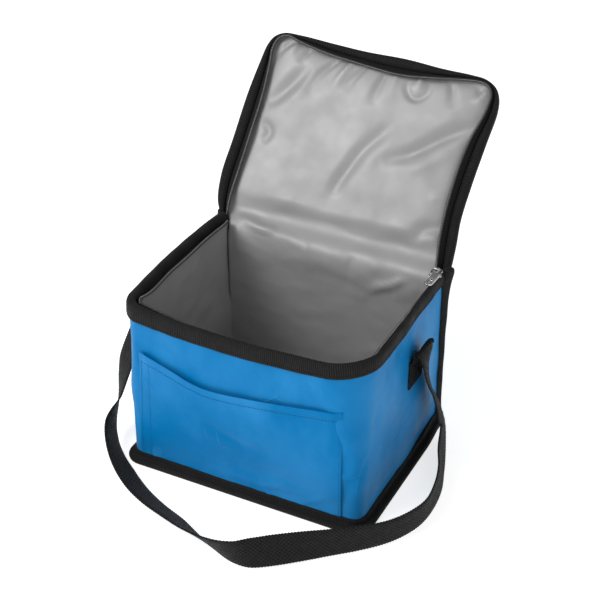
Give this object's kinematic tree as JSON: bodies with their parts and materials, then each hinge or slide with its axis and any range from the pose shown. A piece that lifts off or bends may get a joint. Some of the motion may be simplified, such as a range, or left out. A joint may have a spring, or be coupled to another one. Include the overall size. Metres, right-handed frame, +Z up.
{
  "type": "insulated cooler bag",
  "caption": "Box-shaped soft insulated cooler bag with a zipped lid that hinges on its rear edge, a front slip pocket and a fixed webbing shoulder strap, shown with the lid open.",
  "frame": {"origin": "centre of the base, on the surface that the bag stands on", "axes": "+Z up, -Y out of the front pocket's side, +X to the right seen from the front; the lid hinges on the rear edge, which runs along X"},
  "size_m": [0.2848, 0.3419, 0.2729],
  "materials": {
    "shell_fabric": "blue coated nylon, slight gloss",
    "lining_film": "silver-grey lining film, soft and wrinkled",
    "foam": "white closed-cell foam",
    "binding_tape": "black ribbed binding tape",
    "zipper_tape": "black woven zipper tape",
    "zipper_coil": "black nylon coil",
    "webbing": "black woven webbing",
    "zipper_metal": "bright nickel plate"
  },
  "bodies": {
    "bag": {"outer_wrap_panel": "shell_fabric", "outer_back_panel": "shell_fabric", "base_panel": "shell_fabric", "front_pocket": "shell_fabric", "wall_foam_wrap": "foam", "back_foam": "foam", "base_foam": "foam", "wall_lining_wrap": "lining_film", "back_lining": "lining_film", "base_lining": "lining_film", "base_binding": "binding_tape", "rim_binding": "binding_tape", "rear_binding_left": "binding_tape", "rear_binding_right": "binding_tape", "zipper_tape_body": "zipper_tape", "zipper_coil_body": "zipper_coil", "strap_end_left": "webbing", "strap_end_right": "webbing", "shoulder_strap": "webbing"},
    "lid": {"lid_outer_panel": "shell_fabric", "lid_foam": "foam", "lid_lining": "lining_film", "lid_gusset_binding": "binding_tape", "zipper_tape_lid": "zipper_tape", "zipper_coil_lid": "zipper_coil"},
    "slider": {"zipper_slider": "zipper_metal"},
    "pull": {"zipper_pull": "zipper_metal"}
  },
  "joints": [
    {"name": "lid_hinge", "type": "hinge", "parent": "bag", "child": "lid", "pos_m": [0, 0.076, 0.15], "axis": [1, 0, 0], "range_deg": [-50, 127]},
    {"name": "zipper_slide", "type": "slide", "parent": "bag", "child": "slider", "axis": [0, -1, 0], "range_m": [0, 0.1]},
    {"name": "pull_swing", "type": "hinge", "parent": "slider", "child": "pull", "pos_m": [0.098, 0.068, 0.152], "axis": [0, 0, 1], "range_deg": [-10, 115]}
  ]
}
